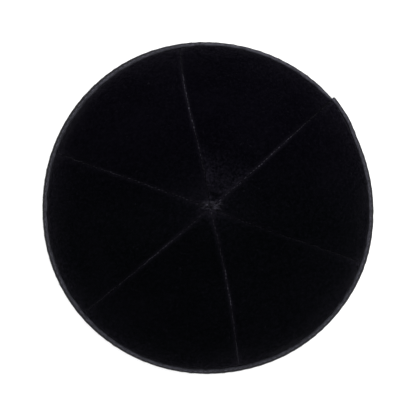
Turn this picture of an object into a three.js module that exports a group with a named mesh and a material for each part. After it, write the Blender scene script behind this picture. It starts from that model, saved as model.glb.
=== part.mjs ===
// A black velvet skullcap of six gores, resting on its rim.
// The gores are sewn edge to edge and meet in a low point at the crown. A folded tape
// binds the rim, and its end laps over its start beside one of the seams.
// Millimetres and degrees. +Z is up from the surface that the rim rests on, and headings
// run anticlockwise from +X, as seen from above.
import * as THREE from "three";

// Sizes of the whole cap.
const rimRadius = 84;
const crownHeight = 54;
const rimTurn = 69; // how far the wall has turned down from level where it meets the rim

// The low point that the gores are sewn to, and how far it stands off the rim's middle.
const peakHeight = 2.5;
const peakSpread = 14;
const crownOffsetX = 0.95;
const crownOffsetY = -0.2;

// The velvet, and the rolled edges along its seams.
const clothWall = 1.8;
const hemWall = 1;
const seamGap = 0.3;
const seamDepth = 0.8;
const seamRoll = 1.5;
const facetDepth = 1.2;
const tipRadius = 0.6;

// The tape folded round the rim.
const tapeThickness = 0.6;
const tapeRise = 4.7;
const tapeInnerRise = 4.2;
const tapeEdgeRound = 0.4;
const fitGap = 0.3;
const pileProud = 0.3;
const tuckLength = 2.2; // height over which the velvet comes out from under the tape
const leanFade = 24; // height over which the tape's own lean dies away into the crown

// The lapped join. The tape's end springs out beyond the layer that it covers.
const lapHeading = 41.3;
const lapLength = 7.8;
const lapSpring = 0.35;
const lapRamp = 35; // length over which the covering layer moves out
const lapFall = 10; // length over which the covered layer comes down to the surface
const lapClear = 3; // length that both keep level beside the lap
const lapTuck = 0.13; // lean that the tape loses at the join, as a share of its height
const lapTuckSpread = 10;

// How finely the curved faces are divided.
const crownRows = 18;
const crownRowCrowding = 1.3;
const panelColumns = 10;
const bindingSteps = 80;
const normalStep = 0.2;

// One row for each row of a gore where it goes down into the tape, as a share of tuckLength.
const tuckRows = [{ up: 1.8 }, { up: 1.15 }, { up: 0.7 }, { up: 0.35 }, { up: 0 }];

// One row for each column of a gore beside a seam: how many times seamRoll it stands away,
// and the largest share of the gore's width that it may take.
const seamColumns = [
  { rolls: 0.85, most: 0.06 },
  { rolls: 2, most: 0.13 },
];

// One row for each seam: its heading at the rim, how far it swings round near the crown's
// point, and how far it bows sideways at half way, in degrees.
const seams = [
  { heading: 40.9, swing: -3.0, bow: 0.3 },
  { heading: 99.8, swing: -5.2, bow: 2.2 },
  { heading: 160.0, swing: -1.6, bow: 0.4 },
  { heading: 220.3, swing: 2.0, bow: 0.3 },
  { heading: 281.0, swing: 5.5, bow: 1.0 },
  { heading: 340.3, swing: -3.4, bow: 0.3 },
];

// Where the gores lie flatter than the dome, as shares of the way from crown to rim.
const facetStart = 0.35; // they are flat from here
const facetEnd = 0.55; // to here
const facetGone = 0.97;

// One row for each gore: how flat it lies between its seams, as a share of facetDepth.
const gores = [
  { flatness: 1.0 },
  { flatness: 0.8 },
  { flatness: 0.95 },
  { flatness: 0.85 },
  { flatness: 1.0 },
  { flatness: 0.75 },
];

// The rim every 20 degrees: how far it stands out or in, as a share of rimRadius, and how
// far the tape leans in over its height, as a share of tapeRise.
const rim = [
  { heading: 0, reach: -0.0039, lean: 0.41 },
  { heading: 20, reach: -0.0093, lean: 0.36 },
  { heading: 40, reach: -0.005, lean: 0.31 },
  { heading: 60, reach: -0.0081, lean: 0.3 },
  { heading: 80, reach: -0.0087, lean: 0.31 },
  { heading: 100, reach: -0.0015, lean: 0.41 },
  { heading: 120, reach: 0.0057, lean: 0.52 },
  { heading: 140, reach: 0.0039, lean: 0.51 },
  { heading: 160, reach: -0.0021, lean: 0.49 },
  { heading: 180, reach: -0.0063, lean: 0.46 },
  { heading: 200, reach: 0.0009, lean: 0.46 },
  { heading: 220, reach: 0.0051, lean: 0.49 },
  { heading: 240, reach: 0.0021, lean: 0.44 },
  { heading: 260, reach: -0.0009, lean: 0.4 },
  { heading: 280, reach: -0.0015, lean: 0.49 },
  { heading: 300, reach: 0.0039, lean: 0.46 },
  { heading: 320, reach: 0.0063, lean: 0.44 },
  { heading: 340, reach: 0.0069, lean: 0.46 },
];

const fullTurn = 360;
const radians = THREE.MathUtils.degToRad;
const degrees = THREE.MathUtils.radToDeg;
const mix = THREE.MathUtils.lerp;
const ease = (x) => THREE.MathUtils.smoothstep(x, 0, 1);
const wrapped = (angle) => THREE.MathUtils.euclideanModulo(angle, fullTurn);
// The signed angle from one heading to another, between -180 and 180.
const angleFrom = (from, to) => wrapped(to - from + fullTurn / 2) - fullTurn / 2;

// A column of the rim's table at any heading, by a cubic through its rows.
function rimValue(column, heading) {
  const place = (wrapped(heading) / fullTurn) * rim.length;
  const row = Math.floor(place);
  const t = place - row;
  const [a, b, c, d] = [-1, 0, 1, 2].map(
    (step) => rim[(row + step + rim.length) % rim.length][column],
  );
  const slopeIn = (c - a) / 2;
  const slopeOut = (d - b) / 2;
  return (
    b +
    t * slopeIn +
    t * t * (3 * (c - b) - 2 * slopeIn - slopeOut) +
    t * t * t * (2 * (b - c) + slopeIn + slopeOut)
  );
}

const rimReach = (heading) => rimRadius * (1 + rimValue("reach", heading));

// The angle that a length along the rim takes up.
const rimAngle = (length) => degrees(length / rimRadius);

// The tape's lean, part of which it loses where its two layers are stitched together.
function tapeLean(heading) {
  const off = angleFrom(lapHeading, heading) / rimAngle(lapTuckSpread);
  return rimValue("lean", heading) - lapTuck * Math.exp(-off * off);
}

// The crown's dome: a stretch of an ellipse from level to rimTurn.
const domeHeight = crownHeight - peakHeight;
const rimCos = Math.cos(radians(rimTurn));
const rimSin = Math.sin(radians(rimTurn));
const shareAt = (turn) => Math.sin(radians(turn)) / rimSin;
const riseAt = (turn) => (domeHeight * (Math.cos(radians(turn)) - rimCos)) / (1 - rimCos);
const turnAtRise = (rise) => degrees(Math.acos(rimCos + (rise * (1 - rimCos)) / domeHeight));
const turnAtRadius = (radius) => degrees(Math.asin((radius * rimSin) / rimRadius));
const tapeTopShare = shareAt(turnAtRise(tapeRise));

// A point of the smooth surface that the tape's outer face lies on, and the velvet near it.
function skinPoint(turn, heading) {
  const share = shareAt(turn);
  const rise = riseAt(turn);
  const reach = rimReach(heading);
  const leanShift = reach * (1 - tapeTopShare) - tapeLean(heading) * tapeRise;
  const hold = rise < tapeRise ? rise / tapeRise : 1 - ease((rise - tapeRise) / leanFade);
  const radius = reach * share + leanShift * hold;
  const peak = peakHeight * Math.exp(-radius / peakSpread) * (1 - share) ** 2;
  return new THREE.Vector3(
    crownOffsetX * (1 - share) + radius * Math.cos(radians(heading)),
    crownOffsetY * (1 - share) + radius * Math.sin(radians(heading)),
    rise + peak,
  );
}

// That surface's normal, pointing into the hollow.
function skinNormal(turn, heading) {
  const [above, below] = [turn - normalStep, turn + normalStep];
  const [before, after] = [heading - normalStep, heading + normalStep];
  const down = skinPoint(below, heading).sub(skinPoint(above, heading));
  const round = skinPoint(turn, after).sub(skinPoint(turn, before));
  return round.cross(down).normalize();
}

// A point at a depth under that surface.
function underSkin(turn, heading, depth) {
  return skinPoint(turn, heading).addScaledVector(skinNormal(turn, heading), depth);
}

// The seam's heading at a share of the way from the crown to the rim.
function seamHeading(index, share) {
  const seam = seams[index % seams.length];
  const lap = index >= seams.length ? fullTurn : 0;
  return seam.heading + lap + seam.swing * (1 - share) ** 2 + seam.bow * Math.sin(Math.PI * share);
}

// The covered layer of the tape rests on the covering one, and comes down past its end.
const lapStep = tapeThickness + fitGap;

function layerLift(heading) {
  const past = angleFrom(lapHeading, heading);
  return lapStep * (1 - ease((past - rimAngle(lapClear / 2)) / rimAngle(lapFall)));
}

// The velvet's lower edge is raised with it.
function hemLift(heading) {
  const past = angleFrom(lapHeading, heading);
  const before = 1 - ease((-past - rimAngle(lapLength + lapClear)) / rimAngle(lapFall));
  const after = 1 - ease((past - rimAngle(lapClear * 2)) / rimAngle(lapFall * 2));
  return lapStep * Math.min(before, after);
}

// A closed wall between two grids of points that have the same rows and columns.
function wallBetween(outer, inner) {
  const rows = outer.length;
  const columns = outer[0].length;
  const points = [...outer.flat(), ...inner.flat()];
  const at = (row, column, side) => side * rows * columns + row * columns + column;
  const faces = [];
  const quad = (a, b, c, d) => faces.push(a, b, c, a, c, d);
  for (let row = 0; row + 1 < rows; row++) {
    for (let column = 0; column + 1 < columns; column++) {
      const [a, b] = [at(row, column, 0), at(row + 1, column, 0)];
      quad(a, b, b + 1, a + 1);
      const [c, d] = [at(row, column, 1), at(row + 1, column, 1)];
      quad(c, c + 1, d + 1, d);
    }
    quad(at(row, 0, 0), at(row, 0, 1), at(row + 1, 0, 1), at(row + 1, 0, 0));
    const last = columns - 1;
    quad(at(row, last, 1), at(row, last, 0), at(row + 1, last, 0), at(row + 1, last, 1));
  }
  for (let column = 0; column + 1 < columns; column++) {
    const end = rows - 1;
    quad(at(0, column, 1), at(0, column, 0), at(0, column + 1, 0), at(0, column + 1, 1));
    quad(at(end, column, 0), at(end, column, 1), at(end, column + 1, 1), at(end, column + 1, 0));
  }
  return meshGeometry(points, faces);
}

function meshGeometry(points, faces) {
  const geometry = new THREE.BufferGeometry().setFromPoints(points);
  geometry.setIndex(faces);
  geometry.computeVertexNormals();
  return geometry;
}

// How flat the gores lie at a share of the way from crown to rim.
function facetShape(share) {
  return ease(share / facetStart) * (1 - ease((share - facetEnd) / (facetGone - facetEnd)));
}

// The steepest the tape leans sets how far a point inside it drops below its place.
const hemDepth = tapeThickness + fitGap;
const wallLean = Math.atan2(1, Math.max(...rim.map((row) => row.lean)));
const hemDrop = (hemDepth + hemWall) * Math.cos(wallLean);

// The height from which a gore goes down into the tape.
const tuckStart = tapeRise + fitGap;

// A gore's points at one depth: side 0 is the pile's surface, and side 1 the inside.
function goreGrid(index, side) {
  const tuckTurns = tuckRows.map((row) => turnAtRise(tuckStart + tuckLength * row.up));
  const tipTurn = turnAtRadius(tipRadius);
  const turns = [];
  for (let row = 0; row < crownRows; row++) {
    turns.push(mix(tipTurn, tuckTurns[0], (row / crownRows) ** crownRowCrowding));
  }
  turns.push(...tuckTurns);
  const hemTurn = null; // its height follows the heading
  return [...turns, hemTurn].map((turn) => goreRow(index, side, turn));
}

function goreRow(index, side, turn) {
  const hemBase = tapeThickness + fitGap + hemDrop;
  const share = turn === null ? 1 : shareAt(turn);
  const start = seamHeading(index, share);
  const end = seamHeading(index + 1, share);
  const radius = rimRadius * share;
  const gap = degrees(Math.asin(Math.min(1, seamGap / 2 / radius)));
  const width = radius * radians(end - start);
  return columnShares(width).map((across) => {
    const heading = mix(start + gap, end - gap, across);
    const at = turn === null ? turnAtRise(hemBase + hemLift(heading)) : turn;
    return underSkin(at, heading, goreDepth(index, side, at, across, width));
  });
}

// Columns stand close beside a seam, where the edge rolls under, and even between.
function columnShares(width) {
  const close = seamColumns.map((row) => Math.min((seamRoll * row.rolls) / width, row.most));
  const last = close.at(-1);
  const shares = [0, ...close];
  for (let step = 1; step < panelColumns; step++) {
    shares.push(mix(last, 1 - last, step / panelColumns));
  }
  return [...shares, ...close.reverse().map((share) => 1 - share), 1];
}

function goreDepth(index, side, turn, across, width) {
  const share = shareAt(turn);
  const fromSeam = Math.min(across, 1 - across) * width;
  const roll = seamDepth * Math.exp(-((fromSeam / seamRoll) ** 2));
  const flat = facetDepth * gores[index].flatness * (1 - (2 * across - 1) ** 2);
  const free = -pileProud + roll + flat * facetShape(share) + side * clothWall;
  const tucked = hemDepth + side * hemWall;
  return mix(tucked, free, ease((riseAt(turn) - tuckStart) / tuckLength));
}

// The tape's cross-section at a place along it: a U, open at the top, round the velvet.
// spread is how far its two sides stand off, for the layer that covers the other one.
function tapeSection(heading, spread, lift) {
  const lean = tapeLean(heading);
  const widen = Math.hypot(1, lean);
  const channelEnd = hemDepth + hemWall + fitGap;
  const outside = -spread;
  const inside = channelEnd + tapeThickness + Math.min(spread, lapStep);
  const floor = lift + tapeThickness;
  const section = [
    [outside + tapeEdgeRound, lift],
    [outside, lift + tapeEdgeRound],
    [outside, tapeRise - tapeEdgeRound / 2],
    [outside + tapeEdgeRound / 2, tapeRise],
    [outside + tapeThickness, tapeRise],
    [outside + tapeThickness, floor],
    [inside - tapeThickness, floor],
    [inside - tapeThickness, tapeInnerRise],
    [inside, tapeInnerRise],
    [inside, lift + tapeEdgeRound],
    [inside - tapeEdgeRound, lift],
  ];
  return section.map(([depth, rise]) => {
    const radius = rimReach(heading) - rise * lean - depth * widen;
    return new THREE.Vector3(
      radius * Math.cos(radians(heading)),
      radius * Math.sin(radians(heading)),
      rise,
    );
  });
}

// The tape runs once round from under its own end, so it covers a little over a full turn.
function bindingGeometry() {
  const start = lapHeading - rimAngle(lapLength);
  const end = lapHeading + fullTurn;
  const sections = [];
  for (let step = 0; step <= bindingSteps; step++) {
    const heading = mix(start, end, step / bindingSteps);
    const before = end - heading;
    const level = rimAngle(lapLength + lapClear);
    const ramp = ease((rimAngle(lapRamp) - before) / (rimAngle(lapRamp) - level));
    const spring = lapSpring * Math.max(0, 1 - before / rimAngle(lapLength));
    const lift = heading < start + fullTurn / 2 ? layerLift(heading) : 0;
    sections.push(tapeSection(heading, lapStep * ramp + spring, lift));
  }
  return tubeThrough(sections);
}

// A closed tube through sections that have the same number of points, with flat ends.
function tubeThrough(sections) {
  const size = sections[0].length;
  const faces = [];
  for (let step = 0; step + 1 < sections.length; step++) {
    for (let corner = 0; corner < size; corner++) {
      const a = step * size + corner;
      const b = step * size + ((corner + 1) % size);
      faces.push(a, a + size, b + size, a, b + size, b);
    }
  }
  const last = (sections.length - 1) * size;
  const endFaces = THREE.ShapeUtils.triangulateShape(flattened(sections[0]), []);
  for (const [a, b, c] of endFaces) {
    faces.push(a, b, c);
    faces.push(last + a, last + c, last + b);
  }
  return meshGeometry(sections.flat(), faces);
}

// A section's points in its own plane, as distance from the cap's middle and height.
function flattened(section) {
  return section.map((point) => new THREE.Vector2(Math.hypot(point.x, point.y), point.z));
}

const velvet = new THREE.MeshStandardMaterial({ color: 0x08080b, roughness: 0.95, metalness: 0 });
const tape = new THREE.MeshStandardMaterial({ color: 0x2c2c31, roughness: 0.7, metalness: 0 });

const cap = new THREE.Group();
seams.forEach((seam, index) => {
  const gore = new THREE.Mesh(wallBetween(goreGrid(index, 0), goreGrid(index, 1)), velvet);
  gore.name = `velvet_panel_${index + 1}`;
  cap.add(gore);
});
const binding = new THREE.Mesh(bindingGeometry(), tape);
binding.name = "rim_binding";
cap.add(binding);

// The cap stands with its footprint centred on the origin.
const footprint = new THREE.Box3().setFromObject(cap).getCenter(new THREE.Vector3());
cap.position.set(-footprint.x, -footprint.y, 0);

export default cap;
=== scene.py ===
import math

import bpy
import numpy as np
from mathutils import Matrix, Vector
from mathutils.bvhtree import BVHTree


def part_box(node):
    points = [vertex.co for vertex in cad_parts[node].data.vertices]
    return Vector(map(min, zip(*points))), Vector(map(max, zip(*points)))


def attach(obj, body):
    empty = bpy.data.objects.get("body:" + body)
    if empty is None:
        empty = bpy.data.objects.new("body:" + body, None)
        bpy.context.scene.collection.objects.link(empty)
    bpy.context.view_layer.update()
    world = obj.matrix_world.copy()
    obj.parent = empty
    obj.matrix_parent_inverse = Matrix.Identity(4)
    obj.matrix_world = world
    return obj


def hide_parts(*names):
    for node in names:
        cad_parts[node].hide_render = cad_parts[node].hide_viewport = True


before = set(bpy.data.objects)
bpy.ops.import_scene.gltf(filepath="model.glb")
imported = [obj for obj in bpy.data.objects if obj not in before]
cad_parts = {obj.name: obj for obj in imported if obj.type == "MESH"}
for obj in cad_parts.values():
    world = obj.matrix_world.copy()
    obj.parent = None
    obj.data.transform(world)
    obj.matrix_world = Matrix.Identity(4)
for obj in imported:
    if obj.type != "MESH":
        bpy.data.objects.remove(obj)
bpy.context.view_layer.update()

mm = 0.001
fullTurn = 360.0
smallTurn = 0.2         # the step that slopes are measured over

# The cap's form, which every piece is laid on.
cap = {
    "rimRadius": 84.0,
    "crownHeight": 54.0,
    "rimTurn": 69.0,        # how far the wall has turned down where it meets the rim
    "peakHeight": 2.5,      # the low point that the gores are sewn to
    "peakSpread": 14.0,
    "crownOffset": (0.95, -0.2),
    "leanFade": 24.0,
}

# One row for each seam: its heading at the rim, its swing near the crown and its bow half way,
# and how much of its thread and crushed edge shows at each share of the way down.
showShares = (0.1, 0.26, 0.42, 0.58, 0.74, 0.9)
seams = [
    {"heading": 40.9, "swing": -3.0, "bow": 0.3, "shows": (0.42, 0.34, 0.63, 0.58, 0.13, 0.0)},
    {"heading": 99.8, "swing": -5.2, "bow": 2.2, "shows": (0.04, 0.22, 0.32, 1.0, 0.74, 0.08)},
    {"heading": 160.0, "swing": -1.6, "bow": 0.4, "shows": (0.25, 0.2, 0.2, 0.26, 0.14, 0.12)},
    {"heading": 220.3, "swing": 2.0, "bow": 0.3, "shows": (0.3, 0.5, 0.48, 0.2, 0.23, 0.07)},
    {"heading": 281.0, "swing": 5.5, "bow": 1.0, "shows": (0.4, 0.18, 0.5, 0.55, 0.3, 0.36)},
    {"heading": 340.3, "swing": -3.4, "bow": 0.3, "shows": (0.2, 0.08, 0.06, 0.09, 0.05, 0.09)},
]

# The rim every 20 degrees: how far it stands out or in, as a share of rimRadius, how far the tape
# leans in over its height, as a share of it, and how light its worn upper edge is made, which is painted
# light that changes around the rim.
rim = {
    "reach": (-0.0039, -0.0093, -0.005, -0.0081, -0.0087, -0.0015, 0.0057, 0.0039, -0.0021,
              -0.0063, 0.0009, 0.0051, 0.0021, -0.0009, -0.0015, 0.0039, 0.0063, 0.0069),
    "lean": (0.49, 0.44, 0.38, 0.35, 0.32, 0.42, 0.55, 0.56, 0.53,
             0.5, 0.51, 0.54, 0.48, 0.44, 0.52, 0.5, 0.49, 0.52),
    "wearAndLight": (0.88, 0.95, 1.15, 1.4, 1.4, 0.9, 0.88, 0.78, 0.7,
             0.95, 1.1, 1.2, 1.28, 1.1, 0.68, 0.8, 0.76, 0.6),
}

tape = {
    "thickness": 0.6,
    "rise": 4.7,
    "innerRise": 4.2,
    "fitGap": 0.3,
    "wallSteps": (0.25, 0.5, 0.75),     # where its section is divided, outside and inside
    "innerWallSteps": (0.35, 0.7),
    "outerPart": 0.32,      # the shares of the section where its outer face ends and its inner one starts
    "innerPart": 0.72,
    "lapHeading": 41.3,
    "lapLength": 7.8,
    "lapSpring": 0.35,      # how far its end stands off
    "lapRamp": 26.0,
    "lapFall": 10.0,
    "lapClear": 3.0,
    "lapTuck": 0.04,
    "lapTuckSpread": 10.0,
    "tailRound": {"length": 1.4, "depth": 0.75},
    "tailLean": {"depth": 0.35, "length": 6.0},
    "startSink": {"depth": 0.9, "length": 4.5, "early": 0.5, "above": 1.0, "over": 3.0},  # the covered end
    "lapCalm": 14.0,
    "foldRadius": 0.9,
    "edgeRadius": 0.25,
    "belly": 0.12,
    "ribPitch": 0.92,
    "ribHeight": 0.09,
    "ribSteps": 4,
    "ribFade": 0.5,
    "waves": {"height": 0.1, "length": 7.0, "seed": 11},
    "edgeWaves": {"height": 0.14, "length": 13.0, "seed": 12, "above": 2.0, "over": 2.0},
    "rubbed": {"above": 3.1, "over": 1.3},
    "flat": (0.0128, 0.536),        # as cut, in metres
}
layerStep = tape["thickness"] + tape["fitGap"]      # from one layer of the tape to the next
velvetStart = tape["rise"] + tape["fitGap"]     # where the velvet comes out of the tape


def ease(x):
    x = np.clip(x, 0.0, 1.0)
    return x * x * (3.0 - 2.0 * x)


def mix(a, b, t):
    return a + (b - a) * t


def bell(distance, spread):
    return np.exp(-((distance / spread) ** 2))


def unit(vectors):
    return vectors / np.linalg.norm(vectors, axis=-1, keepdims=True)


def angleFrom(start, end):
    return (end - start + fullTurn / 2) % fullTurn - fullTurn / 2


def rimAngle(length):
    return math.degrees(length / cap["rimRadius"])


def rimLength(angle):
    return np.radians(angle) * cap["rimRadius"]


# The point at a distance and a heading from the axis, and at a height.
def pointAround(radius, heading, height=0.0):
    turned = np.radians(heading)
    return np.stack(np.broadcast_arrays(radius * np.cos(turned), radius * np.sin(turned), height), axis=-1)


# How far the tape has risen over its own start, by how far it is before its end.
def lapRise(before):
    ramp, level = rimAngle(tape["lapRamp"]), rimAngle(tape["lapLength"] + tape["lapClear"])
    return ease((ramp - before) / (ramp - level))


# A smooth unevenness over points in space, about 1 high: waves that run in chosen directions.
def waves(points, length, seed, count=7, spread=(0.7, 1.4)):
    chance = np.random.default_rng(seed)
    total = 0.0
    for _ in range(count):
        way = chance.normal(size=3)
        way *= 2 * math.pi / length * chance.uniform(*spread) / np.linalg.norm(way)
        total = total + np.sin(points @ way + chance.uniform(0, 2 * math.pi))
    return total / math.sqrt(count / 2)


# The same along a line, which most of the waves cross at a slant.
def wavesAlong(place, length, seed, slant=0.6):
    return waves(np.stack([place, place * 0, place * 0], axis=-1), length * slant, seed)


# A value of the rim at any heading, by a cubic through its list.
def rimValue(column, heading):
    values = np.array(rim[column])
    place = (np.asarray(heading, float) % fullTurn) / fullTurn * len(values)
    row = np.floor(place).astype(int)
    t = place - row
    a, b, c, d = (values[(row + step) % len(values)] for step in (-1, 0, 1, 2))
    slopeIn, slopeOut = (c - a) / 2, (d - b) / 2
    bend = 3 * (c - b) - 2 * slopeIn - slopeOut
    return b + t * slopeIn + t**2 * bend + t**3 * (2 * (b - c) + slopeIn + slopeOut)


def rimReach(heading):
    return cap["rimRadius"] * (1 + rimValue("reach", heading))


def tapeLean(heading):
    tuck = bell(angleFrom(tape["lapHeading"], heading), rimAngle(tape["lapTuckSpread"]))
    return rimValue("lean", heading) - tape["lapTuck"] * tuck


rimCos = math.cos(math.radians(cap["rimTurn"]))
rimSin = math.sin(math.radians(cap["rimTurn"]))
domeHeight = cap["crownHeight"] - cap["peakHeight"]


def shareAt(turn):
    return np.sin(np.radians(turn)) / rimSin


def riseAt(turn):
    return domeHeight * (np.cos(np.radians(turn)) - rimCos) / (1 - rimCos)


def turnAtRise(rise):
    return np.degrees(np.arccos(rimCos + rise * (1 - rimCos) / domeHeight))


tapeTopShare = shareAt(turnAtRise(tape["rise"]))


# A point of the smooth surface that the tape's outer face lies on, and the velvet near it.
def skinPoint(turn, heading):
    share, rise, reach = shareAt(turn), riseAt(turn), rimReach(heading)
    leanShift = reach * (1 - tapeTopShare) - tapeLean(heading) * tape["rise"]
    above = 1 - ease((rise - tape["rise"]) / cap["leanFade"])
    hold = np.where(rise < tape["rise"], rise / tape["rise"], above)
    radius = reach * share + leanShift * hold
    peak = cap["peakHeight"] * np.exp(-radius / cap["peakSpread"]) * (1 - share) ** 2
    shift = (1 - share)[..., None] * np.append(cap["crownOffset"], 0.0)
    return pointAround(radius, heading, rise + peak) + shift


# That surface's normal, pointing into the hollow.
def skinNormal(turn, heading, step=smallTurn):
    down = skinPoint(turn + step, heading) - skinPoint(turn - step, heading)
    across = skinPoint(turn, heading + step) - skinPoint(turn, heading - step)
    return unit(np.cross(across, down))


def underSkin(turn, heading, depth):
    return skinPoint(turn, heading) + skinNormal(turn, heading) * np.asarray(depth)[..., None]


def seamHeading(index, share):
    seam = seams[index % len(seams)]
    lap = fullTurn if index >= len(seams) else 0.0
    bow = seam["bow"] * np.sin(math.pi * share)
    return seam["heading"] + lap + seam["swing"] * (1 - share) ** 2 + bow


# The footprint of the frame's tape is centred on the origin, so the form is moved onto it.
outlineSteps = 1440
headings = np.linspace(0, fullTurn, outlineSteps)
outline = pointAround(rimReach(headings), headings)
boxLow, boxHigh = (np.array(corner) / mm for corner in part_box("rim_binding"))
formShift = ((boxLow + boxHigh) / 2 - (outline.min(0) + outline.max(0)) / 2) * (1, 1, 0)


def addObject(name, data):
    thing = bpy.data.objects.new(name, data)
    bpy.context.scene.collection.objects.link(thing)
    return thing


def makePiece(name, points, faces, finishes, faceFinish=None, attributes=None):
    mesh = bpy.data.meshes.new(name)
    corners = faces if isinstance(faces, list) else faces.tolist()
    mesh.from_pydata(((np.asarray(points) + formShift) * mm).tolist(), [], corners)
    for finish in finishes:
        mesh.materials.append(finish)
    if faceFinish is not None:
        mesh.polygons.foreach_set("material_index", np.asarray(faceFinish, np.int32))
    mesh.polygons.foreach_set("use_smooth", np.full(len(faces), True))
    for key, values in (attributes or {}).items():
        attribute = mesh.attributes.new(key, "FLOAT", "POINT")
        attribute.data.foreach_set("value", np.asarray(values, np.float32).ravel())
    mesh.update()
    piece = addObject(name, mesh)
    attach(piece, "root")
    return piece


# Shader maths as Python: an expression on wrapped sockets adds its Math nodes.
class Wired:
    def __init__(self, tree, socket=None):
        self.tree = tree
        self.socket = socket

    def add(self, kind, settings=None, sockets=None, out=0):
        node = self.tree.nodes.new(kind)
        for key, value in (settings or {}).items():
            setattr(node, key, value)
        for key, value in (sockets or {}).items():
            if isinstance(value, Wired):
                self.tree.links.new(value.socket, node.inputs[key])
            else:
                node.inputs[key].default_value = value
        return Wired(self.tree, node.outputs[out] if len(node.outputs) else None)

    def maths(self, operation, *values):
        return self.add("ShaderNodeMath", {"operation": operation}, dict(enumerate(values)))

    def __add__(self, other):
        return self.maths("ADD", self, other)

    def __sub__(self, other):
        return self.maths("SUBTRACT", self, other)

    def __rsub__(self, other):
        return self.maths("SUBTRACT", other, self)

    def __mul__(self, other):
        return self.maths("MULTIPLY", self, other)

    __radd__ = __add__
    __rmul__ = __mul__

    def clamped(self):
        return self.maths("MINIMUM", self.maths("MAXIMUM", self, 0.0), 1.0)

    def sine(self):
        return self.maths("SINE", self)

    def between(self, low, high):
        sockets = {"Value": self, "From Min": low, "From Max": high}
        return self.add("ShaderNodeMapRange", {"interpolation_type": "SMOOTHSTEP"}, sockets)

    # A colour from one to the other as this value goes from 0 to 1.
    def tint(self, low, high):
        colours = {0: self, 6: low if isinstance(low, Wired) else (*low, 1.0),
                   7: high if isinstance(high, Wired) else (*high, 1.0)}
        return self.add("ShaderNodeMix", {"data_type": "RGBA"}, colours, out=2)


def newMaterial(name):
    material = bpy.data.materials.new(name)
    material.use_nodes = True
    material.node_tree.nodes.clear()
    return material, Wired(material.node_tree)


def finishMaterial(shader, look, colour, bump=None):
    sockets = {"Base Color": colour, "Roughness": look["roughness"], "Specular IOR Level": look["specular"]}
    for key, value in look.get("sheen", {}).items():
        sockets[f"Sheen {key}"] = value
    if bump:
        sockets["Normal"] = bump
    surface = shader.add("ShaderNodeBsdfPrincipled", None, sockets)
    shader.add("ShaderNodeOutputMaterial", None, {"Surface": surface})


# A place on the piece in metres, which doesn't move with the view.
def placeOn(shader):
    return shader.add("ShaderNodeTexCoord", None, None, out=3)


def noiseAt(shader, size, detail=2.0, roughness=0.5):
    sockets = {"Vector": placeOn(shader), "Scale": 1 / (size * mm), "Detail": detail, "Roughness": roughness}
    return shader.add("ShaderNodeTexNoise", None, sockets)


def attributeOf(shader, name):
    return shader.add("ShaderNodeAttribute", {"attribute_name": name}, None, out=2)


def bumpFrom(height, strength, depth):
    sockets = {"Strength": strength, "Distance": depth * mm, "Height": height}
    return height.add("ShaderNodeBump", None, sockets)


# The sum of some layers, each by its share.
def layered(layers, shares):
    total, *others = (layers[name] * share for name, share in shares.items())
    for other in others:
        total = total + other
    return total


# Black velvet: a pile that takes in nearly all the light, greyer where it is brushed or crushed and where
# sheen is painted on, and darker where shade is painted in.
velvetFinish = {
    "deep": (0.00022, 0.0004, 0.0005),
    "deepViolet": (0.00034, 0.00026, 0.0008),
    # the grey of crushed pile and of painted sheen
    "brushedSheen": (0.0064, 0.0057, 0.0088),
    "roughness": 0.95,
    "specular": 0.004,
    "sheen": {"Weight": 0.044, "Roughness": 0.26, "Tint": (0.88, 0.88, 1.0, 1.0)},
    "tufts": {"size": 0.9, "detail": 5.0, "roughness": 0.72},
    "mottle": {"size": 1.9, "detail": 3.0, "roughness": 0.6},
    "clouds": {"size": 32.0},
    "sparkRange": (0.45, 0.66),         # the tufts that catch the light
    "patchRange": (0.44, 0.62),
    "cloudRange": (0.4, 0.65),
    "crushed": {"sparks": 2.2, "patches": 0.6},
    "crushedEven": 0.1,
    "speckle": {"sparks": 0.08, "patches": 0.04},
    "cloudTone": 0.04,
    "seamTufts": 0.6,
    "seamEven": 0.7,
    "height": {"tufts": 0.7, "mottle": 0.3},
    "bump": {"strength": 0.7, "depth": 0.14},
}


def velvetMaterial():
    material, shader = newMaterial("velvet_pile")
    look = velvetFinish
    crushAndSheen, seamTone = attributeOf(shader, "crushAndSheen"), attributeOf(shader, "seamTone")
    deep = attributeOf(shader, "violet").tint(look["deep"], look["deepViolet"])
    tufts, mottle = noiseAt(shader, **look["tufts"]), noiseAt(shader, **look["mottle"])
    sparks, patches = tufts.between(*look["sparkRange"]), mottle.between(*look["patchRange"])
    clouds = noiseAt(shader, **look["clouds"]).between(*look["cloudRange"])
    layers = {"tufts": tufts, "mottle": mottle, "sparks": sparks, "patches": patches}
    # This tone is crushed pile together with painted sheen at the rim and on the gores, and painted shade
    # inside the crown's fold.
    tone = crushAndSheen * (layered(layers, look["crushed"]) + look["crushedEven"])
    tone = tone + seamTone * (tufts * look["seamTufts"] + look["seamEven"])
    tone = (tone + layered(layers, look["speckle"]) + clouds * look["cloudTone"]).clamped()
    bump = bumpFrom(layered(layers, look["height"]), **look["bump"])
    finishMaterial(shader, look, tone.tint(deep, look["brushedSheen"]), bump)
    return material


# The plain woven back of the velvet, which shows inside the cap.
backingFinish = {
    "dark": (0.006, 0.006, 0.008),
    "light": (0.016, 0.016, 0.02),
    "roughness": 0.9,
    "specular": 0.1,
    "threadPitch": 0.5,
    "wearAndLight": {"size": 6.0, "detail": 3.0},
    "tone": {"weave": 0.6, "wearAndLight": 0.5},
    "bump": {"strength": 0.35, "depth": 0.08},
}


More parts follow.
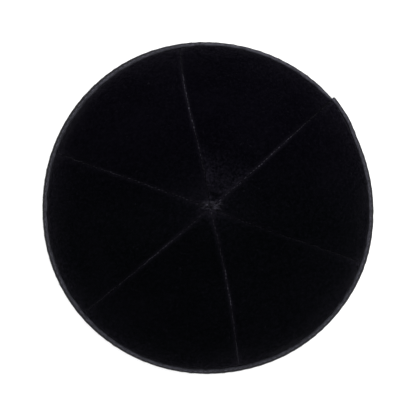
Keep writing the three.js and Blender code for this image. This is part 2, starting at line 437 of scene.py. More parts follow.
def backingMaterial():
    material, shader = newMaterial("velvet_backing")
    look = backingFinish
    turnsPerMetre = 2 * math.pi / (look["threadPitch"] * mm)
    place = {"Vector": placeOn(shader)}
    warp, weft = ((shader.add("ShaderNodeSeparateXYZ", None, place, out=axis) * turnsPerMetre).sine()
                  for axis in (0, 1))
    weave = (warp * weft * 0.5 + 0.5).clamped()     # from between -1 and 1 to between 0 and 1
    layers = {"weave": weave, "wearAndLight": noiseAt(shader, **look["wearAndLight"])}
    colour = layered(layers, look["tone"]).clamped().tint(look["dark"], look["light"])
    finishMaterial(shader, look, colour, bumpFrom(weave, **look["bump"]))
    return material


# The tape: dark grey, ribbed across, and lightest on its worn upper edge, which carries painted light that
# changes around the rim.
tapeFinish = {
    "dark": (0.0012, 0.0012, 0.002),
    "light": (0.029, 0.029, 0.0365),
    "roughness": 0.62,
    "specular": 0.03,
    "sheen": {"Weight": 0.012, "Roughness": 0.5, "Tint": (0.9, 0.9, 1.0, 1.0)},
    "weft": {"size": 0.5},
    "patches": {"size": 5.0, "detail": 3.0},
    "patchRange": (0.35, 0.65),
    "rubbed": {"size": 1.9, "detail": 3.0},
    "rubbedRange": (0.46, 0.62),
    "wall": {"rib": 0.16, "weft": 0.12, "patches": 0.07},
    "edge": {"rib": 0.14, "weft": 0.3, "patches": 0.32, "rubbed": 0.4},
    "bump": {"strength": 0.5, "depth": 0.06},
}


def tapeMaterial():
    material, shader = newMaterial("woven_tape")
    look = tapeFinish
    layers = {
        "rib": attributeOf(shader, "rib"),
        "weft": noiseAt(shader, **look["weft"]),
        "patches": noiseAt(shader, **look["patches"]).between(*look["patchRange"]),
        "rubbed": noiseAt(shader, **look["rubbed"]).between(*look["rubbedRange"]),
    }
    # the worn upper edge, with painted light around the rim
    wornAndLit = attributeOf(shader, "wornAndLit") * layered(layers, look["edge"])
    colour = (layered(layers, look["wall"]) + wornAndLit).clamped().tint(look["dark"], look["light"])
    finishMaterial(shader, look, colour, bumpFrom(layers["weft"], **look["bump"]))
    return material


# Thread and loose fibres: from sunk in the pile and black to bare and grey.
threadFinish = {
    "sunk": (0.0005, 0.0005, 0.0008),
    "bare": (0.08, 0.076, 0.1),
    "roughness": 0.7,
    "specular": 0.02,
    "twist": {"size": 0.3},
    "twistTone": 0.8,
    "evenTone": 0.6,
}


def threadMaterial():
    material, shader = newMaterial("sewing_thread")
    look = threadFinish
    twist = noiseAt(shader, **look["twist"]) * look["twistTone"] + look["evenTone"]
    colour = (attributeOf(shader, "bare") * twist).clamped().tint(look["sunk"], look["bare"])
    finishMaterial(shader, look, colour)
    return material


velvetPile, velvetBack = velvetMaterial(), backingMaterial()
tapeWeave, threadTwist = tapeMaterial(), threadMaterial()
print("materials made")

# The gores.
gore = {
    "wall": 1.8,
    "hemWall": 1.0,
    "pileProud": 0.3,
    "tipRadius": 0.6,
    "rows": 104,
    "rowCrowding": 1.15,
    "tuckLength": 2.2,
    "tuckRows": (1.8, 1.5, 1.2, 1.0, 0.8, 0.6, 0.4, 0.2, 0.0, -0.3),
    "seamColumns": (0.0, 0.12, 0.3, 0.55, 0.9, 1.4, 2.1, 3.1, 4.1, 4.9, 5.15, 6.4),
    "seamShare": 0.36,      # of the gore's width that these columns take up at most
    "middleColumns": 26,
    "seamDepth": 0.8,
    "seamRoll": 1.5,
    "lipRadius": 0.85,
    "lipGap": 0.05,
    "facetDepth": 1.2,
    "flatness": (1.0, 0.8, 0.95, 0.85, 1.0, 0.75),
    "facetStart": 0.35,
    "facetEnd": 0.55,
    "facetGone": 0.97,
    "stitchPitch": 1.85,
    "stitchPucker": {"height": 0.07, "spread": 1.3},
    "puckers": {"height": 0.2, "length": 8.5, "reach": 4.5, "seed": 21, "apart": 40.0,
                "fromSeam": 1.2, "fromCrown": 12.0},
    "gathers": {"height": 0.16, "length": 9.0, "reach": 7.0, "seed": 22},
    "swells": {"height": 0.3, "length": 38.0, "seed": 23,
               "fromSeam": 6.0, "fromTape": 8.0, "fromCrown": 14.0},
    "allowance": {"width": 5.0, "depth": 0.4, "edge": 0.2,      # folded flat inside, and gone at both ends
                  "crown": {"from": 8.0, "over": 8.0}, "rim": {"from": 7.0, "over": 1.5}},
    "flat": {"size": (0.098, 0.115), "area": 0.0066},       # as cut, in metres
    "lapBulge": {"height": 0.7, "before": 1.8, "spread": 3.8, "reach": 5.0, "tuckLength": 0.8,
                 "foot": 0.2, "footLength": 0.7},
    "lapFollow": 2.0,
}

# The pile's tones. The lists hold one number for each gore.
pile = {
    # Painted sheen: each gore's pile lies its own way, and its tone is raised by that gore's share, more so
    # near the crown.
    "napSheen": {"tones": (0.045, 0.06, 0.06, 0.045, 0.055, 0.06), "even": 0.5, "atCrown": 0.7, "spread": 14.0},
    # Painted sheen: the velvet just above the tape is made lighter, as grazing light on the steep rim would
    # show it.
    "rim": {"tones": (0.33, 0.4, 0.5, 0.46, 0.47, 0.29), "fade": 6.0},
    "crown": {"tones": (0.08, 0.17, 0.11, 0.05, 0.08, 0.1), "spread": 16.0},
    "seamFoot": {"tone": 0.3, "fade": 7.0, "spread": 3.4},      # the seams' ends beside the tape
    "seam": {"least": 0.05, "shown": 0.85, "width": 0.95, "narrowed": 0.35, "widenedAtCrown": 0.3},
    "violet": {"least": 0.1, "from": -14.0, "to": 46.0},        # it turns violet up the y axis
}

# The pinched crown, where the pile is crushed, and the fold that stands over it in one gore, with painted
# shade inside the fold; on that gore a ring of brushed pile carries painted sheen.
crown = {
    "crushAndSheen": {"tone": 0.4, "spread": 4.6},
    "brushedSheen": {"gore": 0, "tone": 0.34, "radius": 14.5, "spread": 11.0,
                "even": 0.55, "besideSeam": 0.6, "seamSpread": 3.5},
    "fold": {"radius": 7.4, "heading": 70.0, "spread": 27.0, "rise": 1.7, "width": 1.1, "depth": 1.2,
             "fromSeam": 1.6, "shadeInside": 0.5, "shadeSpread": 0.8},
    "lumps": {"height": 0.3, "length": 3.2, "radius": 7.0, "seed": 24},
}


def turnRows():
    tuck = turnAtRise(velvetStart + gore["tuckLength"] * np.array(gore["tuckRows"]))
    tip = math.degrees(math.asin(gore["tipRadius"] * rimSin / cap["rimRadius"]))
    steps = np.arange(gore["rows"]) / gore["rows"]
    return np.concatenate([mix(tip, tuck[0], steps ** gore["rowCrowding"]), tuck])


def columnShares(width):
    near = np.array(gore["seamColumns"])
    near = near * min(1.0, width * gore["seamShare"] / near[-1]) / width
    middle = np.linspace(near[-1], 1 - near[-1], gore["middleColumns"] + 2)[1:-1]
    return np.concatenate([near, middle, 1 - near[::-1]])


def hemLift(heading):
    past = angleFrom(tape["lapHeading"], heading)
    fall, clear = rimAngle(tape["lapFall"]), rimAngle(tape["lapClear"])
    before = 1 - ease((-past - rimAngle(tape["lapLength"]) - clear) / fall)
    after = 1 - ease((past - clear * 2) / (fall * 2))
    return layerStep * np.minimum(before, after)


# Everything that is worked out at each point of a gore's grid.
def goreGrid(index):
    turns = turnRows()
    shares = shareAt(turns)
    start, end = seamHeading(index, shares), seamHeading(index + 1, shares)
    widths = cap["rimRadius"] * shares * np.radians(end - start)
    across = np.array([columnShares(width) for width in widths])
    gap = np.degrees(gore["lipGap"] / (cap["rimRadius"] * shares))
    heading = mix((start + gap)[:, None], (end - gap)[:, None], across)
    joined = mix(start[:, None], end[:, None], across)
    hemDrop = (layerStep + gore["hemWall"]) * math.cos(math.atan2(1, max(rim["lean"])))
    hemTurn = turnAtRise(layerStep + hemDrop + hemLift(heading[-1]))
    turn = np.repeat(turns[:, None], across.shape[1], axis=1)
    turn = np.vstack([turn, hemTurn])
    heading, joined, across = (np.vstack([part, part[-1]]) for part in (heading, joined, across))
    widths = np.append(widths, widths[-1])[:, None]
    skin = skinPoint(turn, heading)
    steps = np.linalg.norm(np.diff(skin, axis=0), axis=-1)
    arc = np.vstack([np.zeros(steps.shape[1]), np.cumsum(steps, axis=0)])
    fromSeam = np.minimum(across, 1 - across) * widths + gore["lipGap"]
    fromCrown = np.linalg.norm(skin[..., :2] - np.array(cap["crownOffset"]), axis=-1)
    rise = riseAt(turn)
    return {"turn": turn, "heading": heading, "joined": joined, "across": across, "share": shareAt(turn),
            "skin": skin, "arc": arc, "fromSeam": fromSeam, "fromCrown": fromCrown, "rise": rise,
            "aboveTape": np.maximum(rise - tape["rise"], 0)}


def broadDepth(grid, index):
    roll = gore["seamDepth"] * bell(grid["fromSeam"], gore["seamRoll"])
    gone = (grid["share"] - gore["facetEnd"]) / (gore["facetGone"] - gore["facetEnd"])
    facet = ease(grid["share"] / gore["facetStart"]) * (1 - ease(gone))
    flat = gore["facetDepth"] * gore["flatness"][index] * (1 - (2 * grid["across"] - 1) ** 2)
    return -gore["pileProud"] + roll + flat * facet


def foldMask(grid, index):
    if index != crown["brushedSheen"]["gore"]:
        return np.zeros_like(grid["share"])
    return ease(grid["fromSeam"] / crown["fold"]["fromSeam"])


# How far out from the crown the fold's line runs.
def foldLine(grid):
    fold = crown["fold"]
    bent = (grid["heading"] - fold["heading"]) / fold["spread"]
    return fold["radius"] + fold["rise"] * bent * bent


# The velvet's low relief: the rolled lips, the pull of the stitches, puckers, gathers, swells and lumps.
def fineDepth(grid, index):
    skin, fromSeam, fromCrown = grid["skin"], grid["fromSeam"], grid["fromCrown"]
    lip = gore["lipRadius"]
    inLip = np.clip(lip - fromSeam, 0, lip)
    depth = lip - np.sqrt(lip**2 - inLip**2)
    pull = gore["stitchPucker"]
    stitch = np.cos(2 * math.pi * grid["arc"] / gore["stitchPitch"])
    depth = depth + pull["height"] * stitch * np.exp(-fromSeam / pull["spread"])
    puckers = gore["puckers"]
    side = np.where(grid["across"] < 0.5, index, index + 1) % len(seams)
    places = np.stack([grid["arc"], side * puckers["apart"], side * 0.0], -1)
    grown = ease(fromSeam / puckers["fromSeam"]) * np.exp(-fromSeam / puckers["reach"])
    grown = grown * ease(fromCrown / puckers["fromCrown"])
    depth = depth + puckers["height"] * waves(places, puckers["length"], puckers["seed"]) * grown
    gathers = gore["gathers"]
    gather = wavesAlong(rimLength(grid["heading"]), gathers["length"], gathers["seed"])
    depth = depth + gathers["height"] * gather * np.exp(-grid["aboveTape"] / gathers["reach"])
    swells = gore["swells"]
    calm = ease(fromSeam / swells["fromSeam"]) * ease(grid["aboveTape"] / swells["fromTape"])
    calm = calm * ease(fromCrown / swells["fromCrown"])
    depth = depth + swells["height"] * waves(skin, swells["length"], swells["seed"]) * calm
    lumps = crown["lumps"]
    lump = waves(skin, lumps["length"], lumps["seed"]) * (1 - ease(fromCrown / lumps["radius"]))
    depth = depth + lumps["height"] * lump
    fold = crown["fold"]
    inside = 1 - ease((fromCrown - foldLine(grid)) / fold["width"] + 0.5)
    return depth + fold["depth"] * inside * foldMask(grid, index)


# The velvet's edge goes down into the tape, and follows it out where the tape runs up to its lap.
# At the lap the velvet bulges over the inner layer's edge.
def tucked(grid, free, side):
    before = angleFrom(grid["heading"], tape["lapHeading"])
    follow = lapRise(before) * ease((before - rimAngle(tape["lapLength"])) / gore["lapFollow"])
    out = layerStep * follow * ease(grid["rise"] / tape["rise"])
    hem = layerStep - out + side * gore["hemWall"]
    above = grid["rise"] - velvetStart
    bulge = gore["lapBulge"]
    beside = bell(before - bulge["before"], bulge["spread"])
    swell = ease((above + bulge["foot"]) / bulge["footLength"]) * (1 - ease(above / bulge["reach"]))
    tuckLength = mix(gore["tuckLength"], bulge["tuckLength"], beside)
    return mix(hem, free, ease(above / tuckLength)) - bulge["height"] * beside * swell


# The pile's tone: crushed most at the crown and in part along the seams, with painted sheen by each gore's
# nap, on one gore's brushed ring and at the rim, and painted shade inside the crown's fold.
def crushAndSheenOf(grid, index):
    fromSeam, fromCrown, above = grid["fromSeam"], grid["fromCrown"], grid["aboveTape"]
    napSheen, foot, crushAndSheen = pile["napSheen"], pile["seamFoot"], crown["crushAndSheen"]
    # painted sheen of each gore's nap
    tone = napSheen["tones"][index] * (napSheen["even"] + napSheen["atCrown"] * bell(fromCrown, napSheen["spread"]))
    tone = tone + crushAndSheen["tone"] * bell(fromCrown, crushAndSheen["spread"])
    tone = tone + foot["tone"] * np.exp(-above / foot["fade"]) * bell(fromSeam, foot["spread"])
    # painted sheen at the rim
    tone = tone + pile["rim"]["tones"][index] * np.exp(-above / pile["rim"]["fade"])
    brushedSheen, fold = crown["brushedSheen"], crown["fold"]
    # painted sheen on one gore's brushed ring near the crown, and painted shade inside the fold
    if index == brushedSheen["gore"]:
        ring = bell(fromCrown - brushedSheen["radius"], brushedSheen["spread"])
        beside = brushedSheen["besideSeam"] * bell(fromSeam, brushedSheen["seamSpread"])
        tone = tone + brushedSheen["tone"] * ring * (brushedSheen["even"] + beside)
        shade = bell(fromCrown - foldLine(grid) + fold["shadeInside"], fold["shadeSpread"])
        tone = tone * (1 - shade * foldMask(grid, index))
    return np.clip(tone, 0, 1)


# The crushed edges of the pile along the seams.
def seamToneOf(grid, index):
    near = [seams[side % len(seams)]["shows"] for side in (index, index + 1)]
    shown = np.where(grid["across"] < 0.5, np.interp(grid["share"], showShares, near[0]),
                     np.interp(grid["share"], showShares, near[1]))
    seam, light = pile["seam"], pile["crown"]
    nearCrown = bell(grid["fromCrown"], light["spread"])
    width = seam["width"] - seam["narrowed"] * shown * shown + seam["widenedAtCrown"] * nearCrown
    seamTone = (seam["least"] + seam["shown"] * shown) * bell(grid["fromSeam"], width)
    return seamTone + light["tones"][index] * nearCrown


def violetOf(points):
    violet = pile["violet"]
    rising = ease((points[:, 1] - violet["from"]) / (violet["to"] - violet["from"]))
    return mix(violet["least"], 1.0, rising)


# Faces of a closed wall between two grids that have the same rows and columns.
def wallFaces(rows, columns):
    at = np.arange(rows * columns).reshape(rows, columns)
    size = rows * columns

    def quads(a, b, c, d):
        return np.stack([a.ravel(), b.ravel(), c.ravel(), d.ravel()], axis=1)

    outer = quads(at[:-1, :-1], at[1:, :-1], at[1:, 1:], at[:-1, 1:])
    inner = outer[:, ::-1] + size
    rims = []
    for first, second in ((at[:-1, 0], at[1:, 0]), (at[1:, -1], at[:-1, -1]),
                          (at[0, 1:], at[0, :-1]), (at[-1, :-1], at[-1, 1:])):
        rims.append(quads(first, first + size, second + size, second))
    edge = np.concatenate(rims)
    faces = np.concatenate([outer, inner, edge])
    isBack = np.concatenate([np.zeros(len(outer)), np.ones(len(inner)), np.zeros(len(edge))])
    return faces, isBack


def velvetPanel(index):
    grid = goreGrid(index)
    broad = broadDepth(grid, index)
    outerDepth = tucked(grid, broad + fineDepth(grid, index), 0)
    allowance = gore["allowance"]
    folded = 1 - ease((grid["fromSeam"] - allowance["width"]) / allowance["edge"])
    for part, place in (("crown", grid["fromCrown"]), ("rim", grid["rise"])):
        folded = folded * ease((place - allowance[part]["from"]) / allowance[part]["over"])
    innerDepth = tucked(grid, broad + gore["wall"] + allowance["depth"] * folded, 1)
    outer = underSkin(grid["turn"], grid["heading"], outerDepth)
    inner = underSkin(grid["turn"], grid["joined"], innerDepth)
    faces, isBack = wallFaces(*grid["turn"].shape)
    points = np.concatenate([outer.reshape(-1, 3), inner.reshape(-1, 3)])
    tones = {"crushAndSheen": crushAndSheenOf(grid, index).ravel(), "seamTone": seamToneOf(grid, index).ravel()}
    tones["violet"] = violetOf(grid["skin"].reshape(-1, 3))
    tones = {key: np.concatenate([tone, tone * 0]) for key, tone in tones.items()}
    name = f"velvet_gore_{index + 1}"
    piece = makePiece(name, points, faces, [velvetPile, velvetBack], isBack, tones)
    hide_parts(f"velvet_panel_{index + 1}")
    return piece


velvetPanels = [velvetPanel(index) for index in range(len(seams))]
print("velvet gores made:", len(velvetPanels))


# The folded tape. Its section is drawn as depth under the skin and height over the surface.
def arcPoints(centre, radius, start, end, steps=4):
    angles = np.radians(np.linspace(start, end, steps + 1))
    return [(centre[0] + radius * math.cos(a), centre[1] + radius * math.sin(a)) for a in angles]


# How deep the inner leg's face lies under the outer one's.
innerFace = tape["thickness"] + tape["fitGap"] * 2 + gore["hemWall"] + tape["thickness"]


def tapeSection(spread, lift):
    thick, fold, edge = tape["thickness"], tape["foldRadius"], tape["edgeRadius"]
    outside, inside = -spread, innerFace + min(spread, layerStep)
    floor, top, innerTop = lift + thick, tape["rise"], tape["innerRise"]
    section = arcPoints((outside + fold, lift + fold), fold, 270, 180)
    section += [(outside, mix(lift + fold, top - edge, step)) for step in tape["wallSteps"]]
    section += arcPoints((outside + edge, top - edge), edge, 180, 90, 3)
    section += arcPoints((outside + thick - edge, top - edge), edge, 90, 0, 3)
    section += [(outside + thick, mix(top, floor, 0.5)), (outside + thick, floor), (inside - thick, floor)]
    section += arcPoints((inside - thick + edge, innerTop - edge), edge, 180, 90, 2)
    section += arcPoints((inside - edge, innerTop - edge), edge, 90, 0, 2)
    section += [(inside, mix(innerTop, lift + fold, step)) for step in tape["innerWallSteps"]]
    section += arcPoints((inside - fold, lift + fold), fold, 0, -90)
    return np.array(section)


# A point at a depth under the tape's outer face, and a height over the surface.
def tapePoint(heading, depth, rise):
    lean = tapeLean(heading)
    return pointAround(rimReach(heading) - rise * lean - depth * np.hypot(1, lean), heading, rise)


def tapeStations():
    start = tape["lapHeading"] - rimAngle(tape["lapLength"])
    end = tape["lapHeading"] + fullTurn
    count = round(rimLength(end - start) / tape["ribPitch"]) * tape["ribSteps"] + 1
    return np.linspace(start, end, count), start, end


def tapeSpread(heading, end):
    sprung = tape["lapSpring"] * np.maximum(0, 1 - (end - heading) / rimAngle(tape["lapLength"]))
    return lapRise(end - heading) * layerStep + sprung


def layerLift(heading, start):
    past = heading - start - rimAngle(tape["lapLength"])
    return layerStep * (1 - ease((past - rimAngle(tape["lapClear"] / 2)) / rimAngle(tape["lapFall"])))


def rimBinding():
    stations, start, end = tapeStations()
    spread, lift = tapeSpread(stations, end), layerLift(stations, start)
    section = np.array([tapeSection(a, b) for a, b in zip(spread, lift)])
    depth, rise = section[..., 0], section[..., 1]
    along, toEnd = rimLength(stations - start)[:, None], rimLength(end - stations)[:, None]
    rib = 0.5 + 0.5 * np.cos(2 * math.pi * along / tape["ribPitch"])
    corners = section.shape[1]
    isOuter = (np.arange(corners) <= corners * tape["outerPart"])[None]
    isInner = (np.arange(corners) >= corners * tape["innerPart"])[None]
    belly = np.sin(math.pi * np.clip(rise / tape["rise"], 0, 1))
    wavy, edge = tape["waves"], tape["edgeWaves"]
    wave = wavy["height"] * wavesAlong(along, wavy["length"], wavy["seed"])
    fromLap = rimLength(angleFrom(tape["lapHeading"], stations))[:, None]
    wave = wave * ease(np.abs(fromLap) / tape["lapCalm"])
    ribbed = tape["ribHeight"] * (rib - 0.5) * ease(rise / tape["ribFade"])
    swell = tape["belly"] * belly + wave * belly + ribbed
    tail, lean, sink = tape["tailRound"], tape["tailLean"], tape["startSink"]
    pastRound = np.clip(1 - toEnd / tail["length"], 0, 1)
    swell = swell - tape["thickness"] * tail["depth"] * (1 - np.sqrt(1 - pastRound**2))
    depth = depth - np.where(isOuter, swell, 0) + np.where(isInner, swell, 0)
    leaning = (1 - ease(toEnd / lean["length"])) * ease(rise / tape["rise"])
    depth = depth + np.where(isInner, 0, lean["depth"] * leaning)
    sunk = 1 - ease((along - tape["lapLength"] + sink["early"]) / sink["length"])
    rise = rise - sink["depth"] * sunk * ease((rise - sink["above"]) / sink["over"])
    edgeWave = edge["height"] * wavesAlong(along, edge["length"], edge["seed"])
    rise = rise + edgeWave * ease((rise - edge["above"]) / edge["over"])
    points = tapePoint(stations[:, None], depth, rise)
    faces = tubeFaces(len(stations), corners)
    wornAndLit = ease((rise - tape["rubbed"]["above"]) / tape["rubbed"]["over"])
    # Painted light: the worn edge is made lighter or darker heading by heading, as the light falls around
    # the rim.
    wornAndLit = wornAndLit * rimValue("wearAndLight", stations)[:, None]
    tones = {"rib": np.repeat(rib, corners, axis=1), "wornAndLit": wornAndLit}
    piece = makePiece("bound_rim", points.reshape(-1, 3), faces, [tapeWeave], None, tones)
    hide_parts("rim_binding")
    return piece


def tubeFaces(rings, corners):
    at = np.arange(rings * corners).reshape(rings, corners)
    following = np.roll(at, -1, axis=1)
    sides = [at[:-1], at[1:], following[1:], following[:-1]]
    faces = np.stack([side.ravel() for side in sides], axis=1)[:, ::-1].tolist()
    return faces + [at[0].tolist(), at[-1][::-1].tolist()]


binding = rimBinding()
print("rim binding made")


# Threads and fibres: thin tubes with closed ends, many to a mesh, each with as many points.
fibre = {
    "endRound": 4,          # the higher, the longer a fibre keeps its thickness
    "endArea": 0.06,        # of its section that is left at an end
    "liftSpread": 0.4,      # how unevenly a loose one lies, as a share of its height
}


def fibrePiece(name, lines, radii, bare, ups, sides=5):
    lines = np.array(lines)
    count, steps = lines.shape[:2]
    radii = np.broadcast_to(radii, count)
    forward = unit(np.gradient(lines, axis=1))
    across = unit(np.cross(forward, ups))
    over = np.cross(across, forward)
    turn = np.arange(sides) * 2 * math.pi / sides
    ring = across[:, :, None] * np.cos(turn)[:, None] + over[:, :, None] * np.sin(turn)[:, None]
    taper = np.sqrt(np.maximum(1 - np.linspace(-1, 1, steps) ** fibre["endRound"], fibre["endArea"]))
    points = lines[:, :, None] + ring * (radii[:, None] * taper)[:, :, None, None]
    at = np.arange(count * steps * sides).reshape(count, steps, sides)
    following = np.roll(at, -1, axis=2)
    around = [at[:, :-1], following[:, :-1], following[:, 1:], at[:, 1:]]
    faces = np.stack([part.ravel() for part in around], axis=1).tolist()
    faces += at[:, 0, ::-1].tolist() + at[:, -1].tolist()
    tones = np.repeat(bare, steps * sides)
    piece = makePiece(name, points.reshape(-1, 3), faces, [threadTwist], None, {"bare": tones})
    return piece


def surfaceTree(pieces):
    corners, faces = [], []
    for piece in pieces:
        offset = len(corners)
        corners += [tuple(vertex.co) for vertex in piece.data.vertices]
        faces += [tuple(corner + offset for corner in face.vertices) for face in piece.data.polygons]
    return BVHTree.FromPolygons(corners, faces)


velvetTree, tapeTree = surfaceTree(velvetPanels), surfaceTree([binding])


# Where a surface is, on the line through a point along a direction into the cloth.
def onSurface(tree, point, into, proud=0.0, back=8.0):
    start = (Vector(point) + Vector(formShift) - Vector(into) * back) * mm
    hit = tree.ray_cast(start, Vector(into))[0]
    if hit is None:
        return np.array(point, float)
    return np.array(hit) / mm - formShift - np.array(into) * proud


# The stitches in the seams. They lie at the bottom, and the pile covers them here and there.
seamThread = {
    "radius": 0.17,
    "length": 1.15,
    "lengths": (0.8, 1.1),      # shares of it, from one stitch to the next
    "depth": 0.7,
    "depthSpread": 0.05,
    "arch": 0.12,
    "sway": 0.12,
    "bare": (0.15, 1.3),        # shares of what the seam shows
    "covered": {"share": 0.3, "from": 0.15, "over": 0.35},      # by the pile, near the crown
    "firstTurn": 1.2,
    "steps": 1500,
    "points": 6,
    "seed": 31,
}


def seamStitches():
    chance, look = np.random.default_rng(seamThread["seed"]), seamThread
    last = turnAtRise(tape["rise"] + gore["tuckLength"])
    turns = np.linspace(look["firstTurn"], last, look["steps"])
    along = np.linspace(-0.5, 0.5, look["points"])
    arch, under = look["arch"] * (1 - (2 * along) ** 2), look["covered"]
    lines, ups, bare = [], [], []
    for index, seam in enumerate(seams):
        heading = seamHeading(index, shareAt(turns))
        skin, into = skinPoint(turns, heading), skinNormal(turns, heading)
        arc = np.append(0, np.cumsum(np.linalg.norm(np.diff(skin, axis=0), axis=1)))
        for middle in np.arange(gore["stitchPitch"] / 2, arc[-1], gore["stitchPitch"]):
            place = middle + along * look["length"] * chance.uniform(*look["lengths"])
            point, inward = (np.stack([np.interp(place, arc, rows[:, axis]) for axis in range(3)], axis=1)
                             for rows in (skin, into))
            side = np.cross(inward[0], point[-1] - point[0])
            side /= np.linalg.norm(side)
            depth = look["depth"] - arch + chance.normal(0, look["depthSpread"])
            lines.append(point + inward * depth[:, None] + side * chance.normal(0, look["sway"]))
            ups.append(-inward)
            share = shareAt(np.interp(middle, arc, turns))
            covered = under["share"] * (1 - ease((share - under["from"]) / under["over"]))
            shown = np.interp(share, showShares, seam["shows"]) * (1 - covered)
            bare.append(shown * chance.uniform(*look["bare"]))
    return fibrePiece("seam_stitches", lines, look["radius"], bare, ups)


# The stitches that hold the tape, in a row below its upper edge, outside and in.
tapeThread = {
    "pitch": 2.6,
    "length": 2.0,
    "radius": 0.17,
    "outerRise": 3.85,
    "innerRise": 3.35,
    "riseSpread": 0.05,
    "slopeSpread": 0.1,
    "proud": 0.08,
    "dip": 0.15,
    "dipRound": 4,
    "bare": 0.8,
    "bareSpread": (0.7, 1.2),
    "points": 6,
    "seed": 32,
}


def tapeStitches():
    chance, look = np.random.default_rng(tapeThread["seed"]), tapeThread
    count = round(2 * math.pi * cap["rimRadius"] / look["pitch"])
    along = np.linspace(-0.5, 0.5, look["points"])
    proud = look["proud"] - look["dip"] * (2 * along) ** look["dipRound"]
    lines, ups, bare = [], [], []
    for step in range(count):
        middle = tape["lapHeading"] + (step + 0.5) * fullTurn / count
        heading = middle + along * rimAngle(look["length"])
        spread = tapeSpread(heading, tape["lapHeading"] + fullTurn)
        radial = pointAround(1.0, heading)
        for side in (1, -1):
            if side > 0:
                rise, depth = look["outerRise"], -spread
            else:
                rise, depth = look["innerRise"], innerFace + spread
            rise = rise + chance.normal(0, look["riseSpread"])
            rises = rise + along * chance.normal(0, look["slopeSpread"])
            line, up = tapePoint(heading, depth, rises), radial * side
            face = np.array([onSurface(tapeTree, point, -out) for point, out in zip(line, up)])
            off = ((face - line) * up).sum(axis=1).mean()
            lines.append(line + up * (proud + off)[:, None])
            ups.append(up)
            bare.append(look["bare"] * chance.uniform(*look["bareSpread"]))
    return fibrePiece("tape_stitches", lines, look["radius"], bare, ups)


# A fibre that lies on the velvet: it starts at a place and wanders along the surface.
def lyingFibre(chance, look, x, y, length, direction):
    line, step = [], length / (look["points"] - 1)
    for _ in range(look["points"]):
        proud = look["proud"] + chance.normal(0, look["proud"] * fibre["liftSpread"])
        line.append(onSurface(velvetTree, (x, y, cap["crownHeight"]), (0, 0, -1), proud))
        x += step * math.cos(direction)
        y += step * math.sin(direction)
        direction += chance.normal(0, look["curl"])
    return line


# The crushed pile and thread ends where the gores meet.
crownTuft = {
    "count": 150,
    "middle": (1.2, 1.1),
    "reach": (5.4, 1.9),
    "lengths": (1.3, 3.4),
    "radii": (0.05, 0.11),
    "slant": 0.1,
    "spread": 0.28,
    "curl": 0.3,
    "proud": 0.05,
    "bare": {"most": 0.7, "curve": 3.5, "middle": 1.1, "fall": 0.5},   # few are bare, and most in the middle
    "points": 7,
    "sides": 4,
    "seed": 33,
}


def crownFibres():
    chance, look = np.random.default_rng(crownTuft["seed"]), crownTuft
    shine = look["bare"]
    lines, radii, bare = [], [], []
    for _ in range(look["count"]):
        out = math.sqrt(chance.uniform(0, 1))
        turned = chance.uniform(0, 2 * math.pi)
        x = look["middle"][0] + look["reach"][0] * out * math.cos(turned)
        y = look["middle"][1] + look["reach"][1] * out * math.sin(turned)
        direction = look["slant"] + chance.normal(0, look["spread"])
        length = chance.uniform(*look["lengths"])
        start = (x - length / 2 * math.cos(direction), y - length / 2 * math.sin(direction))
        lines.append(lyingFibre(chance, look, *start, length, direction))
        radii.append(chance.uniform(*look["radii"]))
        bareness = shine["most"] * chance.uniform(0.0, 1.0) ** shine["curve"]
        bare.append(bareness * (shine["middle"] - out * shine["fall"]))
    return fibrePiece("crown_fibres", lines, radii, bare, (0, 0, 1), look["sides"])


# Lint that clings to the pile.
lint = {
    "count": 110,
    "lengths": (0.3, 1.3),
    "radius": 0.06,
    "curl": 0.5,
    "proud": 0.15,
    "bare": {"least": 0.02, "most": 0.4, "curve": 3},
    "points": 6,
    "sides": 4,
    "reach": 76.0,
    "seed": 34,
    "placed": ((10.4, -63.8), (-18.0, 72.2), (52.3, 59.9), (-45.0, 47.0)),
}


def lintFibres():
    chance, look = np.random.default_rng(lint["seed"]), lint
    shine = look["bare"]
    lines, bare = [], []
    for step in range(look["count"]):
        if step < len(look["placed"]):
            x, y = look["placed"][step]
        else:
            out, turned = look["reach"] * math.sqrt(chance.uniform(0, 1)), chance.uniform(0, 2 * math.pi)
            x, y = out * math.cos(turned), out * math.sin(turned)
        length, direction = chance.uniform(*look["lengths"]), chance.uniform(0, 2 * math.pi)
        lines.append(lyingFibre(chance, look, x, y, length, direction))
        bare.append(shine["least"] + shine["most"] * chance.uniform(0.0, 1.0) ** shine["curve"])
    return fibrePiece("lint", lines, look["radius"], bare, (0, 0, 1), look["sides"])


# The ends of the pile that stand free: over the seams, over the tape's edge, and thinly all over.
# Each is a pointed sliver with its foot in the velvet.
pileEnds = {
    "overall": 9500,
    "alongSeams": 900,
    "alongTape": 1100,
    "tapeGap": 0.35,            # how far above the tape's gap they begin
    "crownGap": 0.002,          # the shares of the gore that are left out at the crown
    "seamStart": 0.03,
    "across": (0.02, 0.98),
    "seamReach": (0.06, 0.75),
    "tapeReach": 0.9,
    "tapeShare": 0.6,           # of that reach, which the steep rim shortens
    "lengths": (0.25, 0.6),
    "radius": 0.05,
    "foot": 0.1,
    "tilt": 0.375,
    "tiltSpread": 0.35,
    "leanOver": 0.5,
    "crushAndSheen": 0.2,
    "crushSpread": (0.2, 2.2),
    "seed": 41,
}


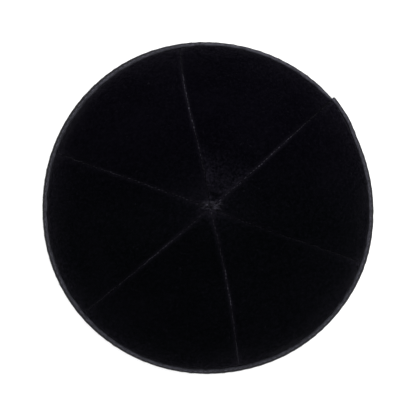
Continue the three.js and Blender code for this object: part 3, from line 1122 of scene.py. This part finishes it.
def pileOn(index):
    chance, look = np.random.default_rng(pileEnds["seed"] + index), pileEnds
    edge = shareAt(turnAtRise(velvetStart + look["tapeGap"]))
    part = np.repeat(["overall", "alongSeams", "alongTape"],
                     [look["overall"], look["alongSeams"], look["alongTape"]])
    bySeam, byTape, total = part == "alongSeams", part == "alongTape", len(part)
    share = np.sqrt(chance.uniform(look["crownGap"], 1.0, total)) * edge
    share = np.where(bySeam, chance.uniform(look["seamStart"], 1.0, total) * edge, share)
    reach = chance.uniform(0, look["tapeReach"] / cap["rimRadius"], total)
    share = np.where(byTape, edge - reach * look["tapeShare"], share)
    start, end = seamHeading(index, share), seamHeading(index + 1, share)
    across = chance.uniform(*look["across"], total)
    aside = np.degrees(chance.uniform(*look["seamReach"], total) / (cap["rimRadius"] * share))
    nearStart = chance.uniform(size=total) < 0.5
    heading = np.where(bySeam, np.where(nearStart, start + aside, end - aside), mix(start, end, across))
    turn = np.degrees(np.arcsin(share * rimSin))
    skin, into = skinPoint(turn, heading), skinNormal(turn, heading)
    down = unit(skinPoint(turn + smallTurn, heading) - skin)
    side = np.cross(into, down)
    lean = chance.normal(0, look["tiltSpread"], (total, 2)) + [look["tilt"], 0.0]
    lean[bySeam, 1] += np.where(nearStart, look["leanOver"], -look["leanOver"])[bySeam]
    lean[byTape, 0] += look["leanOver"]
    way = unit(down * lean[:, :1] + side * lean[:, 1:] - into)
    feet = np.array([onSurface(velvetTree, point, inward) for point, inward in zip(skin, into)])
    length = chance.uniform(*look["lengths"], total)[:, None]
    right = unit(np.cross(way, down))
    ahead = np.cross(way, right)
    ring = [feet + into * look["foot"] + look["radius"] * (right * math.cos(a) + ahead * math.sin(a))
            for a in np.arange(3) * 2 * math.pi / 3]
    points = np.stack(ring + [feet + way * length], axis=1)
    corners = points.shape[1]
    at = np.arange(total * corners).reshape(total, corners)
    faces = np.concatenate([at[:, [0, 1, 3]], at[:, [1, 2, 3]], at[:, [2, 0, 3]], at[:, [2, 1, 0]]])
    crushAndSheen = np.repeat(look["crushAndSheen"] * chance.uniform(*look["crushSpread"], total), corners)
    points = points.reshape(-1, 3)
    tones = {"crushAndSheen": crushAndSheen, "seamTone": crushAndSheen * 0, "violet": violetOf(points)}
    piece = makePiece(f"velvet_pile_{index + 1}", points, faces, [velvetPile], None, tones)


for index in range(len(seams)):
    pileOn(index)
print("pile ends made")

seamStitches()
tapeStitches()
crownFibres()
lintFibres()
print("threads, crown fibres and lint made")

# The sweep, the lights and the camera. Here sizes are in metres, but for the lens and the pixel.
studio = {
    "floorSize": 6.0,
    "floor": {"tones": (0.86, 0.8471), "cloudSize": 60.0, "roughness": 0.9, "specular": 0.1},
    "surround": 1.55,
    "keySize": 1.4,
    "keyPower": 20.0,
    "keyPlace": (0.7, 1.0, 1.0),
    "lens": 200.0,
    "sensor": 36.0,
    "pixelSize": 0.5032,    # how much of the rim's plane a pixel of the picture covers
    "frame": 416,
    "farthest": 20.0,
}


def floorMaterial():
    material, shader = newMaterial("white_sweep")
    look = studio["floor"]
    light, dark = ((tone,) * 3 for tone in look["tones"])
    finishMaterial(shader, look, noiseAt(shader, look["cloudSize"]).tint(light, dark))
    return material


def makeFloor():
    half = studio["floorSize"] / 2
    mesh = bpy.data.meshes.new("sweep")
    corners = [(-half, -half, 0), (half, -half, 0), (half, half, 0), (-half, half, 0)]
    mesh.from_pydata(corners, [], [(0, 1, 2, 3)])
    mesh.materials.append(floorMaterial())
    floor = addObject("sweep", mesh)


def softBox(name, size, power, place):
    light = bpy.data.lights.new(name, "AREA")
    light.shape, light.size, light.energy = "DISK", size, power
    lamp = addObject(name, light)
    lamp.location = place
    lamp.rotation_euler = (-Vector(place)).to_track_quat("-Z", "Y").to_euler()


def lightStudio():
    scene = bpy.context.scene
    scene.world = bpy.data.worlds.new("surround")
    scene.world.use_nodes = True
    surround = scene.world.node_tree.nodes["Background"]
    surround.inputs["Color"].default_value = (1.0, 1.0, 1.0, 1.0)
    surround.inputs["Strength"].default_value = studio["surround"]
    softBox("key", studio["keySize"], studio["keyPower"], studio["keyPlace"])
    scene.view_settings.view_transform = "Standard"


def makeCamera():
    lens = bpy.data.cameras.new("overhead")
    lens.lens, lens.sensor_width, lens.clip_end = studio["lens"], studio["sensor"], studio["farthest"]
    camera = addObject("overhead", lens)
    camera.location.z = studio["frame"] * studio["pixelSize"] * mm * studio["lens"] / studio["sensor"]
    bpy.context.scene.camera = camera


makeFloor()
lightStudio()
makeCamera()
print("studio set")
